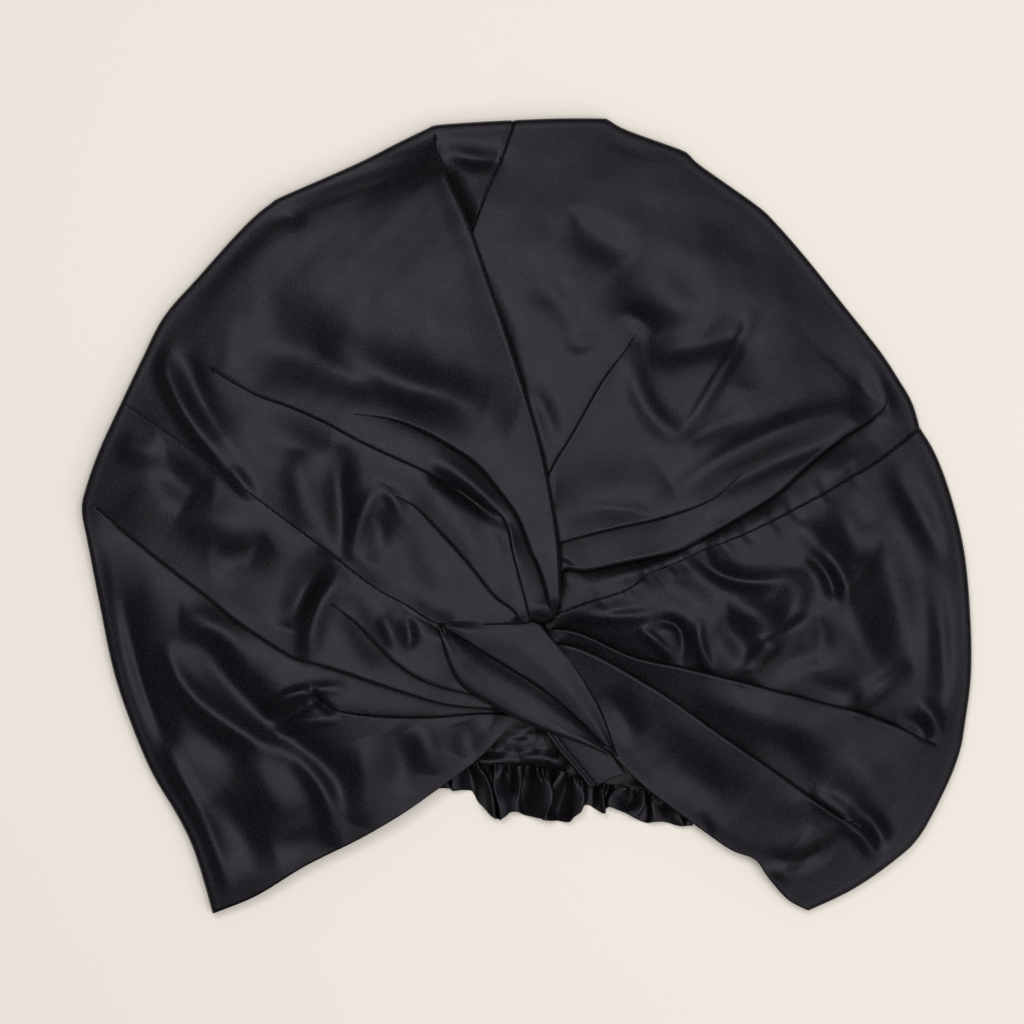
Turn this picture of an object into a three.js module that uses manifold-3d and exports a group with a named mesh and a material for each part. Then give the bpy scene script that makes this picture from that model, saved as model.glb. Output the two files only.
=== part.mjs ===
// A twist-front sleep bonnet of doubled satin, lying flat on a table with its front up.
// Millimetres, +Z up. The origin is on the table under the middle of the outline, and +Y runs to the crown's top.
//
// Four panels make the bag. Each runs from the twist out to the rim, turns under it, and comes back along the
// table to the gathered nape hem. The head goes in at the -Y side, between the front's lower edge and the hem.
import * as THREE from "three";
import { mergeVertices } from "three/addons/utils/BufferGeometryUtils.js";
import Module from "manifold-3d";

const wasm = await Module();
wasm.setup();

// ---- Driving sizes ----
const WALL = 1.2; // two layers of satin
const BAND_WALL = 1.6; // the twist is folded over on itself
const SEAM_GAP = 0.65; // between two panels that are sewn together
const RIM_RADIUS = 4; // how far the fold at the rim reaches inwards
const RIM_TOP = 7.4; // middle of the cloth where that fold ends
const DOME_RISE = 11; // from there to the middle of the crown
const DOME_REACH = 70; // distance from the rim over which the dome rises
const MOUTH_SHARE = 0.45; // share of the dome's rise that is left at the mouth's front edge
const MOUTH_REACH = 55; // distance from the mouth over which the full rise comes back
const TABLE_MID = WALL / 2; // middle of the cloth where it lies on the table
const HUB = new THREE.Vector2(5, -38); // where all the folds of the front meet
const HUB_REACH = 38; // how far from there the panels are raised or lowered
const CROWN_LEFT_LIFT = 2.5; // it is drawn up over the others
const OTHERS_LIFT = -1; // they are drawn down under the twist

// ---- Curves in plan: x and y of the few points that each passes through ----
const curve = (points) => new THREE.SplineCurve(points.map(([x, y]) => new THREE.Vector2(x, y)));
const backwards = (points) => [...points].reverse();

const RIM = {
  crownLeft: [[-145, 41], [-138, 57], [-130, 72], [-105, 100], [-90, 114], [-61, 127], [-34, 140], [-4, 142.5]],
  crownRight: [[-4, 142.5], [29, 143], [56, 132], [88, 107], [101, 92.5], [127, 60], [139, 41], [142, 31]],
  brimLeft: [[-145, 41], [-154, 24], [-159.5, 5], [-153, -31], [-142, -74], [-125, -107], [-116, -131], [-112, -143]],
  brimRight: [[142, 31], [151, 12], [158, -19], [160, -50], [156, -85], [142, -114], [118, -134], [101, -142]],
};

// Front seams and edges, each from the twist outwards.
const FRONT = {
  seamLeft: [[-34, -36], [-51, -27], [-74, -10], [-102, 11], [-130, 31], [-145, 41]],
  seamCentre: [[0, -8], [-10, 30], [-18, 65], [-19, 101], [-4, 142.5]],
  seamRight: [[4, -36], [23, -30], [44, -20], [63, -12], [100, 5], [127, 21], [142, 31]],
  mouthLeft: [[-4, -72], [-17, -87], [-46, -108], [-79, -125], [-112, -143]],
  mouthRight: [[27, -84], [48, -101], [74, -120], [87, -129], [101, -142]],
};

// The panels' inner edges, under the twist.
const INNER = {
  crownLeft: [[-34, -36], [-18, -36], [-5, -30], [0, -8]],
  crownRight: [[0, -8], [2, -22], [4, -36]],
  brimLeft: [[-34, -36], [-21, -50], [-10, -61], [-4, -72]],
  brimRight: [[4, -36], [9, -54], [18, -72], [27, -84]],
};

// Back seams and edges, each from the rim to the gathers at the nape.
const BACK = {
  seamLeft: [[-145, 41], [-100, 0], [-60, -50], [-25, -87]],
  seamCentre: [[-4, 142.5], [2, 60], [8, -20], [12, -91]],
  seamRight: [[142, 31], [105, -15], [75, -65], [45, -99]],
  mouthLeft: [[-112, -143], [-78, -119], [-46, -102], [-34, -92]],
  mouthRight: [[101, -142], [86, -124], [74, -115], [62, -108]],
};
const GATHER = {
  crownLeft: [[-25, -87], [-9, -88.5], [12, -91]],
  crownRight: [[12, -91], [31, -96], [45, -99]],
  brimLeft: [[-25, -87], [-34, -92]],
  brimRight: [[45, -99], [62, -108]],
};

// ---- Main folds of the front: a bent line in plan, its half width, and its height, or its depth if negative ----
const FOLDS = [
  { from: [-133, 61], bend: [-75, 36], to: [-34, 18], width: 8, height: -3 },
  { from: [-76, 42], bend: [-48, 44], to: [-30, 30], width: 7, height: 3 },
  { from: [-156, 4], bend: [-100, -45], to: [-10, -70], width: 8, height: -4 },
  { from: [-150, -25], bend: [-118, -75], to: [-85, -112], width: 13, height: 2.5 },
  { from: [-118, -50], bend: [-90, -72], to: [-68, -108], width: 10, height: -3.5 },
  { from: [-68, -38], bend: [-45, -56], to: [-12, -68], width: 5, height: 2.5 },
  { from: [130, 42], bend: [85, 10], to: [22, -14], width: 7, height: -3.5 },
  { from: [12, 12], bend: [24, 38], to: [40, 60], width: 5, height: 2 },
  { from: [48, 82], bend: [55, 75], to: [60, 66], width: 14, height: -3 },
  { from: [18, -45], bend: [70, -58], to: [146, -82], width: 9, height: -3 },
  { from: [60, -95], bend: [90, -112], to: [120, -120], width: 9, height: 2.5 },
  { from: [58, -22], bend: [80, -45], to: [106, -30], width: 9, height: -3 },
];

// ---- Helpers on points in plan ----
const sampled = (points, steps) => curve(points).getSpacedPoints(steps);
const rimLine = [backwards(RIM.brimLeft), RIM.crownLeft, RIM.crownRight, RIM.brimRight].flatMap((p) => sampled(p, 40));
const mouthLine = [backwards(FRONT.mouthLeft), FRONT.mouthRight].flatMap((p) => sampled(p, 30));

// How far a point is from the nearest of a line's stretches, and how far along the line that is, from 0 to 1.
function nearest(line, point) {
  let best = { squared: Infinity, share: 0 };
  for (let i = 0; i + 1 < line.length; i++) {
    const start = line[i];
    const alongX = line[i + 1].x - start.x;
    const alongY = line[i + 1].y - start.y;
    const dot = (point.x - start.x) * alongX + (point.y - start.y) * alongY;
    const t = Math.min(Math.max(dot / Math.max(alongX ** 2 + alongY ** 2, 1e-9), 0), 1);
    const squared = (point.x - start.x - t * alongX) ** 2 + (point.y - start.y - t * alongY) ** 2;
    if (squared < best.squared) best = { squared, share: (i + t) / (line.length - 1) };
  }
  return { distance: Math.sqrt(best.squared), share: best.share };
}

const foldLines = FOLDS.map(({ from, bend, to }) =>
  new THREE.QuadraticBezierCurve(...[from, bend, to].map(([x, y]) => new THREE.Vector2(x, y))).getPoints(12),
);

// The sum of all folds at a point: each is a smooth ridge or valley that fades at its ends.
function foldHeight(point) {
  return FOLDS.reduce((sum, { width, height }, i) => {
    const { distance, share } = nearest(foldLines[i], point);
    const fade = THREE.MathUtils.smoothstep(share, 0, 0.2) * (1 - THREE.MathUtils.smoothstep(share, 0.8, 1));
    return sum + height * fade * Math.exp(-((distance / width) ** 2));
  }, 0);
}

// Height of the middle of the front cloth: a dome that is lower at the mouth, with its folds, drawn up or down at
// the hub by the lift.
function frontHeight(point, lift) {
  const inwards = Math.min(Math.max(nearest(rimLine, point).distance - RIM_RADIUS, 0) / DOME_REACH, 1);
  const fromMouth = THREE.MathUtils.smoothstep(nearest(mouthLine, point).distance, 0, MOUTH_REACH);
  const rise = DOME_RISE * (1 - (1 - inwards) ** 2) * (MOUTH_SHARE + (1 - MOUTH_SHARE) * fromMouth);
  const atHub = lift * Math.exp(-((point.distanceTo(HUB) / HUB_REACH) ** 2));
  return RIM_TOP + rise + atHub + foldHeight(point) * THREE.MathUtils.smoothstep(inwards, 0, 0.25);
}

// A four-sided patch in plan. The inner and outer edges run along u, and the sides a and b run from inner to outer.
function patch({ inner, outer, a, b }) {
  const [innerCurve, outerCurve, aCurve, bCurve] = [inner, outer, a, b].map(curve);
  const corner = { ia: innerCurve.getPoint(0), ib: innerCurve.getPoint(1) };
  const far = { oa: outerCurve.getPoint(0), ob: outerCurve.getPoint(1) };
  return (u, v) =>
    innerCurve.getPointAt(u).multiplyScalar(1 - v)
      .addScaledVector(outerCurve.getPointAt(u), v)
      .addScaledVector(aCurve.getPointAt(v), 1 - u)
      .addScaledVector(bCurve.getPointAt(v), u)
      .addScaledVector(corner.ia, -(1 - u) * (1 - v))
      .addScaledVector(corner.ib, -u * (1 - v))
      .addScaledVector(far.oa, -(1 - u) * v)
      .addScaledVector(far.ob, -u * v);
}

const steps = (count) => Array.from({ length: count + 1 }, (_, i) => i / count);
const at = (plan, height) => new THREE.Vector3(plan.x, plan.y, height);

// ---- From a grid of points on the middle of the cloth to a closed wall around it ----
function wallAround(rows, wall) {
  const rowCount = rows.length;
  const columnCount = rows[0].length;
  const point = (j, i) =>
    rows[THREE.MathUtils.clamp(j, 0, rowCount - 1)][THREE.MathUtils.clamp(i, 0, columnCount - 1)];
  const positions = [];
  for (const side of [0.5, -0.5])
    for (let j = 0; j < rowCount; j++)
      for (let i = 0; i < columnCount; i++) {
        const along = point(j, i + 1).clone().sub(point(j, i - 1));
        const across = point(j + 1, i).clone().sub(point(j - 1, i));
        const normal = along.cross(across).normalize();
        positions.push(...point(j, i).clone().addScaledVector(normal, side * wall).toArray());
      }
  const id = (layer, j, i) => layer * rowCount * columnCount + j * columnCount + i;
  const index = [];
  const quad = (p, q, r, s) => index.push(p, q, r, p, r, s);
  for (let j = 0; j + 1 < rowCount; j++)
    for (let i = 0; i + 1 < columnCount; i++) {
      quad(id(0, j, i), id(0, j, i + 1), id(0, j + 1, i + 1), id(0, j + 1, i));
      quad(id(1, j, i), id(1, j + 1, i), id(1, j + 1, i + 1), id(1, j, i + 1));
    }
  for (let i = 0; i + 1 < columnCount; i++) {
    const last = rowCount - 1;
    quad(id(0, 0, i + 1), id(0, 0, i), id(1, 0, i), id(1, 0, i + 1));
    quad(id(0, last, i), id(0, last, i + 1), id(1, last, i + 1), id(1, last, i));
  }
  for (let j = 0; j + 1 < rowCount; j++) {
    const last = columnCount - 1;
    quad(id(0, j, 0), id(0, j + 1, 0), id(1, j + 1, 0), id(1, j, 0));
    quad(id(0, j + 1, last), id(0, j, last), id(1, j, last), id(1, j + 1, last));
  }
  const geometry = new THREE.BufferGeometry();
  geometry.setAttribute("position", new THREE.Float32BufferAttribute(positions, 3));
  geometry.setIndex(index);
  return geometry;
}

// Draws the two side columns of a grid in by half the seam's gap, so that sewn panels don't touch.
function leaveSeamGap(rows) {
  for (const row of rows) {
    const last = row.length - 1;
    const first = row[1].clone().sub(row[0]).setLength(SEAM_GAP / 2);
    const end = row[last - 1].clone().sub(row[last]).setLength(SEAM_GAP / 2);
    row[0] = row[0].clone().add(first);
    row[last] = row[last].clone().add(end);
  }
  return rows;
}

// ---- One panel of the bag: front, round the rim, and back along the table ----
const COLUMNS = 20;
const FRONT_ROWS = 12;
const RIM_ROWS = 4;
const BACK_ROWS = 3;

function bagPanel({ front, back, lift }) {
  const frontPlan = patch(front);
  const backPlan = patch(back);
  const chord = (plan, u) => plan(u, 0).distanceTo(plan(u, 1));
  const rimHalf = (RIM_TOP - TABLE_MID) / 2;
  const rows = [];
  for (const share of steps(FRONT_ROWS))
    rows.push(
      steps(COLUMNS).map((u) => {
        const plan = frontPlan(u, share * (1 - RIM_RADIUS / chord(frontPlan, u)));
        return at(plan, frontHeight(plan, lift));
      }),
    );
  for (const share of steps(RIM_ROWS).slice(1)) {
    const turn = Math.PI * share;
    rows.push(
      steps(COLUMNS).map((u) => {
        const rim = frontPlan(u, 1);
        const inset =
          share < 0.5
            ? frontPlan(u, 1 - RIM_RADIUS / chord(frontPlan, u))
            : backPlan(u, RIM_RADIUS / chord(backPlan, u));
        const plan = inset.clone().lerp(rim, Math.sin(turn));
        return at(plan, TABLE_MID + rimHalf * (1 + Math.cos(turn)));
      }),
    );
  }
  for (const share of steps(BACK_ROWS).slice(1))
    rows.push(
      steps(COLUMNS).map((u) => {
        const start = RIM_RADIUS / chord(backPlan, u);
        return at(backPlan(u, start + share * (1 - start)), TABLE_MID);
      }),
    );
  return wallAround(leaveSeamGap(rows), WALL);
}

// ---- The left crown's overlapping fold, whose free edge turns down and ends in the tongue of the twist ----
const FOLD_EDGE = [[8, -34], [11, -28], [10.5, -9], [7, 12], [-2, 46], [-14, 83], [-28, 120], [-34, 136]];
const FOLD_ROOT = [[-18, -34], [-19, 0], [-26, 50], [-34, 100], [-37, 134]];
const FOLD_WALL = 1; // thinner than the cloth under it, so that its root is all inside that cloth
const FOLD_LIFT = 4.2; // how far the fold's crest stands above the cloth under it
const FOLD_CREST = 0.85; // where the crest is, from root to edge
const FOLD_DROP = 1.8; // from the crest down to the free edge
const FOLD_CLOSES = 0.72; // where it starts to sink back into the crown, from the twist to the rim
const TONGUE_DROP = 0.35; // share of the lift that is lost at the tongue's tip
const TONGUE_LENGTH = 0.06; // of the whole fold
const FOLD_COLUMNS = 8;
const FOLD_ROWS = 16;

function crownFold() {
  const plan = patch({
    inner: [FOLD_ROOT[0], FOLD_EDGE[0]],
    outer: [FOLD_ROOT.at(-1), FOLD_EDGE.at(-1)],
    a: FOLD_ROOT,
    b: FOLD_EDGE,
  });
  const { smoothstep } = THREE.MathUtils;
  const rows = steps(FOLD_ROWS).map((v) => {
    const open = 1 - smoothstep(v, FOLD_CLOSES, 1);
    const tongue = 1 - TONGUE_DROP * (1 - smoothstep(v, 0, TONGUE_LENGTH));
    return steps(FOLD_COLUMNS).map((u) => {
      const spot = plan(u, v);
      const raise = FOLD_LIFT * tongue * smoothstep(u, 0, FOLD_CREST) - FOLD_DROP * smoothstep(u, FOLD_CREST, 1);
      return at(spot, frontHeight(spot, CROWN_LEFT_LIFT) + raise * open);
    });
  });
  return wallAround(rows, FOLD_WALL);
}

// ---- The twist: a band that crosses over the front and dips along its middle crease, and its tail below ----
const BAND = {
  inner: [[-34, -39], [-16, -37], [4, -35]],
  outer: [[27, -83], [31, -84.5]],
  a: [[-34, -39], [-27, -52], [-22, -60], [-13, -66], [-2, -72], [12, -78], [27, -83]],
  b: [[4, -35], [10, -45], [17, -54], [23, -66], [28, -77], [31, -84.5]],
};
const BAND_LIFT = 2.6; // its edges above the panels that it crosses
const BAND_ARCH = 4; // how much higher each of its two strips is in the middle
const BAND_CREASE = 0.52; // where the crease is, from the lower edge to the upper
const BAND_COLUMNS = 12;
const BAND_ROWS = 10;

function twistBand() {
  const plan = patch(BAND);
  const rows = steps(BAND_ROWS).map((v) =>
    steps(BAND_COLUMNS).map((u) => {
      const spot = plan(u, v);
      const across = u < BAND_CREASE ? u / BAND_CREASE : (u - BAND_CREASE) / (1 - BAND_CREASE);
      const arch = BAND_ARCH * Math.sin(Math.PI * across) ** 0.7 * (1 - 0.6 * v) * (0.35 + 0.65 * Math.min(v * 5, 1));
      return at(spot, frontHeight(spot, OTHERS_LIFT) + BAND_LIFT + arch);
    }),
  );
  return wallAround(rows, BAND_WALL);
}

const TAIL = {
  inner: [[5, -73], [27, -80]],
  outer: [[24, -96], [35, -92]],
  a: [[5, -73], [13, -84], [24, -96]],
  b: [[27, -80], [31, -85], [35, -92]],
};
const TAIL_TOP = 11.5;
const TAIL_END = 10.2;

function twistTail() {
  const plan = patch(TAIL);
  const rows = steps(5).map((v) =>
    steps(6).map((u) => at(plan(u, v), THREE.MathUtils.lerp(TAIL_TOP, TAIL_END, v) - 3 * (1 - v) ** 2)),
  );
  return wallAround(rows, WALL);
}

// ---- The nape hem: a gathered frill below the elastic ----
const HEM_TOP = [[-34, -93], [-25, -88.5], [-9, -90], [12, -92.5], [31, -97.5], [45, -100.5], [62, -109.5]];
const HEM_BOTTOM = [[-33, -98], [-20, -104], [-7, -107], [12, -107], [31, -104.5], [47, -109], [60, -113]];
const FLUTES = 7;
const FLUTE_TOP = 2; // height of the flutes at the elastic
const FLUTE_BOTTOM = 6.4; // and at the free edge
const SCALLOP = 2.2; // how far the free edge of a flute reaches beyond its neighbours
const HEM_COLUMNS = 42;
const HEM_ROWS = 4;

function napeHem() {
  const plan = patch({
    inner: HEM_TOP,
    outer: HEM_BOTTOM,
    a: [HEM_TOP[0], HEM_BOTTOM[0]],
    b: [HEM_TOP.at(-1), HEM_BOTTOM.at(-1)],
  });
  const rows = steps(HEM_ROWS).map((v) =>
    steps(HEM_COLUMNS).map((u) => {
      const wave = (1 - Math.cos(2 * Math.PI * FLUTES * u)) / 2;
      const spot = plan(u, v);
      spot.y -= SCALLOP * wave * v;
      return at(spot, TABLE_MID + wave * THREE.MathUtils.lerp(FLUTE_TOP, FLUTE_BOTTOM, v));
    }),
  );
  return wallAround(rows, WALL);
}

// ---- Joining solids ----
function solidOf(geometry) {
  const merged = mergeVertices(geometry, 1e-4);
  return new wasm.Manifold(
    new wasm.Mesh({
      numProp: 3,
      vertProperties: merged.attributes.position.array,
      triVerts: new Uint32Array(merged.index.array),
    }),
  );
}

function joined(first, second) {
  const mesh = solidOf(first).add(solidOf(second)).getMesh();
  const geometry = new THREE.BufferGeometry();
  geometry.setAttribute("position", new THREE.BufferAttribute(mesh.vertProperties, 3));
  geometry.setIndex(new THREE.BufferAttribute(mesh.triVerts, 1));
  return geometry;
}

// ---- The four panels ----
const crownLeft = bagPanel({
  front: { inner: INNER.crownLeft, outer: RIM.crownLeft, a: FRONT.seamLeft, b: FRONT.seamCentre },
  back: { inner: RIM.crownLeft, outer: GATHER.crownLeft, a: BACK.seamLeft, b: BACK.seamCentre },
  lift: CROWN_LEFT_LIFT,
});
const crownRight = bagPanel({
  front: { inner: INNER.crownRight, outer: RIM.crownRight, a: FRONT.seamCentre, b: FRONT.seamRight },
  back: { inner: RIM.crownRight, outer: GATHER.crownRight, a: BACK.seamCentre, b: BACK.seamRight },
  lift: OTHERS_LIFT,
});
const brimLeft = bagPanel({
  front: { inner: INNER.brimLeft, outer: RIM.brimLeft, a: FRONT.seamLeft, b: FRONT.mouthLeft },
  back: { inner: RIM.brimLeft, outer: GATHER.brimLeft, a: BACK.seamLeft, b: BACK.mouthLeft },
  lift: OTHERS_LIFT,
});
const brimRight = bagPanel({
  front: { inner: INNER.brimRight, outer: RIM.brimRight, a: FRONT.seamRight, b: FRONT.mouthRight },
  back: { inner: RIM.brimRight, outer: GATHER.brimRight, a: BACK.seamRight, b: BACK.mouthRight },
  lift: OTHERS_LIFT,
});

// ---- The scene graph ----
const SATIN = { roughness: 0.4, metalness: 0 };
const outerSatin = new THREE.MeshStandardMaterial({ color: 0x1b1a1d, ...SATIN });
const twistSatin = new THREE.MeshStandardMaterial({ color: 0x201f22, ...SATIN });
const hemSatin = new THREE.MeshStandardMaterial({ color: 0x171618, ...SATIN });

const bonnet = new THREE.Group();
function addPiece(name, geometry, material) {
  const mesh = new THREE.Mesh(geometry, material);
  mesh.name = name;
  bonnet.add(mesh);
}
addPiece("crown_left", joined(crownLeft, crownFold()), outerSatin);
addPiece("crown_right", crownRight, outerSatin);
addPiece("brim_left", brimLeft, outerSatin);
addPiece("brim_right", brimRight, outerSatin);
addPiece("twist_band", twistBand(), twistSatin);
addPiece("twist_tail", twistTail(), twistSatin);
addPiece("nape_hem", napeHem(), hemSatin);

export default bonnet;
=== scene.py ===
import bmesh
import bpy
import numpy as np
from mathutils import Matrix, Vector


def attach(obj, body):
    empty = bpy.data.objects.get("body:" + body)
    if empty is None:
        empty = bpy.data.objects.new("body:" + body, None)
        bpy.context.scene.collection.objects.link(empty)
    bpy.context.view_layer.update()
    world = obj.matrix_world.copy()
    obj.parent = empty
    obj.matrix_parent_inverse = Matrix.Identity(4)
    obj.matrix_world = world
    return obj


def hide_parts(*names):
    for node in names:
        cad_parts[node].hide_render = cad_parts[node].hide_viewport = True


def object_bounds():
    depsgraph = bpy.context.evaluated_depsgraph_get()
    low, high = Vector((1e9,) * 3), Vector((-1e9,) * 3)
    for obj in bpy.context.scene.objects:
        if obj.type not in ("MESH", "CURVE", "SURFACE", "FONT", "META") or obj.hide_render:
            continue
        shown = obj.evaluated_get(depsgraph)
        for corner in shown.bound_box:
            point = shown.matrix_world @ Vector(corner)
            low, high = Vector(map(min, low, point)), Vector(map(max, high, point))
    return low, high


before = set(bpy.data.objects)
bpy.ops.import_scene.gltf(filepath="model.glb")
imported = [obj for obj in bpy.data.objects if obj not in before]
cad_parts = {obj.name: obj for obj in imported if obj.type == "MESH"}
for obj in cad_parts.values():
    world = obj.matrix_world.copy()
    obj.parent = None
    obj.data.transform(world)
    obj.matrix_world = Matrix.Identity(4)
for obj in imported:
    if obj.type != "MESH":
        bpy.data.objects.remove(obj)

CAD_LOW, CAD_HIGH = [list(map(float, corner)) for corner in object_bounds()]

# ---- Sizes, in millimetres of the modelled bonnet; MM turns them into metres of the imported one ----
BONNET_WIDTH = 320.767
MM = (CAD_HIGH[0] - CAD_LOW[0]) / BONNET_WIDTH

CLOTH = 0.7  # thickness of the doubled satin
TABLE_TOP = 0.45  # middle of the cloth where it lies on the table
RIM_RADIUS = 1.5  # how far the fold at the rim reaches inwards
RIM_TOP = 6.2  # middle of the cloth where that fold ends
DOME_RISE, DOME_REACH = 7.5, 78.0
MOUTH_SHARE, MOUTH_REACH = 0.5, 50.0  # share of the rise left at the mouth, and how far that reaches
# height of the waves in the cloth, the shortest, and how much longer the longest is
UNEVEN, FINE, SAG = (0.40, 22, 60), (0.10, 9, 16), (0.9, 50, 70)
HUB = (5.0, -38.0)
HUB_LIFT, HUB_REACH = -1.0, 38.0
TONGUE_LIFT, TONGUE_REACH = 3.0, 19.0
SEAM_DEPTH = 0.03
SEAM_WIDTH = 0.8
SEAM_FADE = 6.0  # tucks die away this near a seam

# ---- Curves in plan, in millimetres: points from the hub outwards, or along the rim from panel to panel ----
RIM_CROWN_LEFT = [
    (-145.3, 41.5), (-138.1, 56.7), (-130.2, 72.1), (-118, 86), (-105.1, 100.4), (-97, 108.5),
    (-90.5, 113.5), (-88, 115), (-61.2, 126.8), (-47, 134), (-35, 139.8), (-32, 140.9), (-18, 141.9),
    (-3.9, 142.6),
]
RIM_CROWN_RIGHT = [
    (-3.9, 142.6), (12, 143.2), (27, 143.2), (29.5, 142.8), (35.9, 139.2), (54, 132.6), (58, 130.8),
    (62.8, 126.3), (82.7, 112.3), (90, 105.5), (101.3, 92.5), (114, 76.5), (127, 59.9), (134, 49.3),
    (138.7, 41.3), (141.6, 32),
]
RIM_BRIM_LEFT = [
    (-145.3, 41.5), (-153.5, 23.7), (-158.6, 9), (-159.6, 2), (-157.8, -8), (-153.3, -31.4),
    (-148.3, -55.2), (-142, -74.2), (-134.5, -91.8), (-125.5, -106.9), (-119.9, -118.3), (-115.5, -132),
    (-112.6, -142.6),
]
RIM_BRIM_RIGHT = [
    (141.6, 32), (146.7, 23.7), (151.4, 12), (156, -4.3), (158.5, -19.4), (160, -40.9), (160, -57.8),
    (158.1, -73.1), (156, -84.6), (151, -97.4), (142, -114.1), (133.1, -123), (117.7, -133.8),
    (101.6, -141.6),
]
SEAM_LEFT = [
    (-30, -38), (-35, -36.4), (-42.7, -31.4), (-51.4, -26.9), (-60.3, -20.7), (-74, -10), (-86.6, -0.6),
    (-101.7, 10.8), (-111.9, 18.3), (-129.5, 30.8), (-145.3, 41.5),
]
SEAM_CENTRE = [
    (2, -24), (-4, 0), (-14, 40), (-19.5, 72), (-20.4, 96), (-18, 106), (-13.5, 118), (-8, 131),
    (-3.9, 142.6),
]
SEAM_RIGHT = [
    (5, -37), (15.1, -33.4), (23.3, -30.5), (36.1, -26.1), (44.5, -20.1), (52.4, -16.9), (63.5, -11.8),
    (80.3, -5), (100.1, 5), (111.8, 11.5), (127, 20.8), (141.6, 32),
]
MOUTH_LEFT = [
    (3, -69.5), (-3.6, -72.8), (-17.4, -86.8), (-35.2, -100.1), (-46.3, -107.6), (-60.3, -115.7),
    (-79.1, -125.2), (-96.7, -135.9), (-112.6, -142.6),
]
MOUTH_RIGHT = [
    (24, -77), (30, -84), (39.1, -93.6), (48.1, -101.2), (67.1, -115.1), (74.3, -119.8), (80.5, -122),
    (83.5, -124.2), (87, -129.5), (94.7, -137.7), (101.6, -141.6),
]

# The free edge of the left crown's big fold, and the creases that run beside it
FOLD_EDGE = [
    (10.6, -34.6), (11.3, -31), (11.2, -24), (10.4, -9.3), (7, 11.8), (2.5, 31.2), (-6.3, 59.9),
    (-14, 82.9), (-21.5, 104.7), (-28.3, 120.2), (-32.2, 131.3), (-33.5, 140.3),
]
VALLEY_ARC = [
    (7.6, -37.6), (8.6, -32.5), (7.9, -26), (5.2, -17.6), (2.3, -11.5), (-1.9, -0.5), (-8.6, 9.3),
    (-17.2, 19.4), (-28.3, 26.9), (-39.2, 32.4), (-50.2, 35.7), (-61.2, 36.8), (-67, 39.5), (-74, 46),
    (-88, 66), (-104, 90), (-112, 93.5),
]
POCKET = [
    (2.2, -37.3), (1.4, -34.8), (0.3, -29.8), (-1.8, -22.1), (-4.3, -12.5), (-5.8, -4.2), (-9, 1),
    (-14.5, 5.2), (-21, 9), (-34.9, 16.3), (-56.8, 26.4), (-72.1, 34.6), (-85.4, 40.2), (-98.6, 45),
    (-119.4, 56.7), (-134.5, 63.8),
]
CROWN_PLEAT = [
    (-1, -38), (-4.3, -32.8), (-10.8, -27.8), (-17, -20.1), (-23.4, -12.5), (-33, -2.2), (-42, 5.5),
    (-58, 12.5), (-88, 22), (-118, 38), (-140.5, 51.5),
]

# Creases of the right crown
RIGHT_CREASE = [
    (5.5, -27), (6, -5), (7.4, 12), (18.5, 31.9), (27.8, 48.2), (38.3, 63.5), (52, 88), (72, 119.5),
]
RIGHT_PLEAT = [
    (6, -30), (7, -12), (10.8, -9), (30.1, -3.8), (48.8, 0.4), (65.2, 6.2), (74.5, 13.3), (82, 22),
    (98, 42), (117, 72.5),
]
RIGHT_TUCK = [
    (6, -33), (12.3, -18.6), (21.5, -18.3), (35.2, -15.4), (45.2, -13.3), (55.8, -10.6), (72.1, -1.5),
    (88.5, 8.6), (100.1, 19), (111.8, 28.3), (127, 38.8), (130.5, 44), (133.5, 50),
]

# Creases of the left brim
LEFT_PLEAT_INNER = [
    (-14, -62), (-18.7, -60.8), (-22.4, -57.5), (-27.5, -48.5), (-33, -39.5), (-43.5, -34), (-61, -24),
    (-88, -4), (-114, 13.5), (-148, 35.5),
]
LEFT_PLEAT = [
    (-8, -66), (-19.9, -62.8), (-35, -58.5), (-47.7, -50.2), (-60.3, -37.7), (-67.8, -32), (-90, -15),
    (-120, 5), (-151, 29),
]
LEFT_LONG = [
    (-3, -68), (-13.6, -68.3), (-28.7, -66.6), (-41.3, -62.8), (-53.9, -58.5), (-66.5, -54.1),
    (-79.1, -50.9), (-86.6, -47.7), (-101.7, -37.7), (-114.4, -27.6), (-129.5, -16.3), (-148.3, -1.1),
    (-158.9, 7.5),
]
LEFT_LAPPET = [
    (1, -69.5), (-3.9, -71.6), (-16.1, -71), (-35.2, -72.3), (-53.9, -71.7), (-66.5, -69.8), (-75, -65.6),
    (-95, -57), (-125, -45), (-152.4, -36),
]

# Creases of the right brim
RIGHT_UPPER = [
    (8, -40), (15.4, -40.9), (23.2, -43.6), (38.6, -50.6), (56.3, -54.5), (74.2, -58.8), (97.2, -64.7),
    (119, -70.5), (134.4, -76.3), (147.1, -82), (156.2, -84),
]
RIGHT_STRIP = [
    (10, -45), (16.8, -46.8), (21.9, -48.7), (30.8, -53.1), (40.5, -58.8), (51.2, -65.3), (69.1, -78.2),
    (89.6, -92.2), (103.7, -102.6), (112.6, -108.3), (121, -112), (137, -119.5),
]

# The panels' inner edges under the twist, from each panel's first side to its second
INNER_CROWN_LEFT = [
    (-30, -38), (-15, -38.5), (-1, -38), (2.2, -37.3), (5, -38), (7.6, -37.6), (9.6, -36.5),
    (10.6, -34.6),
]
INNER_CROWN_RIGHT = [(2, -24), (4, -30), (5, -37)]
INNER_BRIM_LEFT = [(-30, -38), (-22, -50), (-14, -60), (-8, -65), (-3, -68), (3, -69.5)]
INNER_BRIM_RIGHT = [(5, -37), (8, -42), (12, -54), (18, -67), (24, -77)]

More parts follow.
